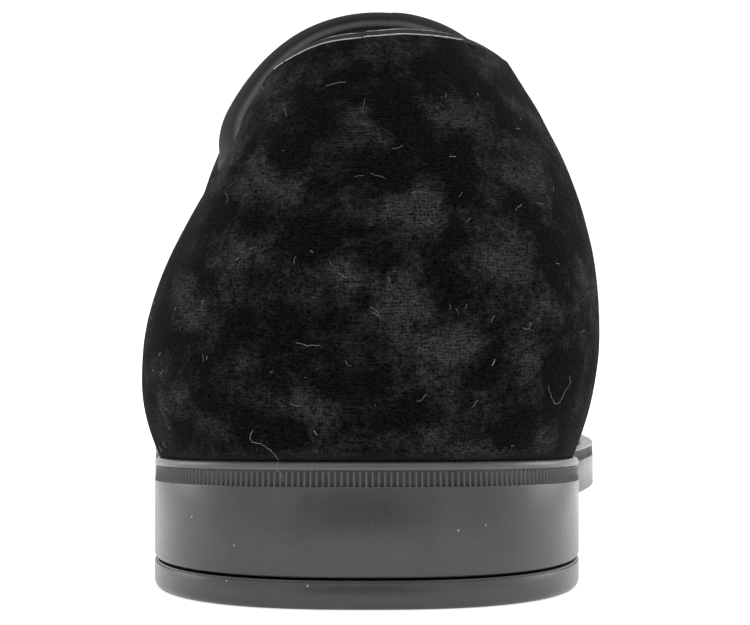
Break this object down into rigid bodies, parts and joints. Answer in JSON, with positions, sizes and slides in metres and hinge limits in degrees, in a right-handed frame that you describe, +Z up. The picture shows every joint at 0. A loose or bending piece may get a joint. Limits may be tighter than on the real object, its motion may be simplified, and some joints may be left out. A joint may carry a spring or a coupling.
{
  "type": "velvet slipper loafer",
  "caption": "Left slipper loafer with a hollow velvet upper, leather topline binding, ribbed welt and a low-heeled rubber sole.",
  "frame": {"origin": "on the floor, under the middle of the whole shoe's box", "axes": "+X to the medial side (the wearer's right side of this left shoe), +Y from heel to toe, +Z up"},
  "size_m": [0.1034, 0.2944, 0.1001],
  "materials": {
    "velvet": "crushed black velvet with mottled nap",
    "smooth_leather": "smooth black leather, soft gloss",
    "insole_leather": "black leather, satin",
    "sole_rubber": "dark grey moulded rubber, satin"
  },
  "bodies": {
    "root": {"upper": "velvet", "topline_binding": "smooth_leather", "insole": "insole_leather", "welt": "sole_rubber", "outsole": "sole_rubber", "top_piece": "sole_rubber"}
  },
  "joints": []
}
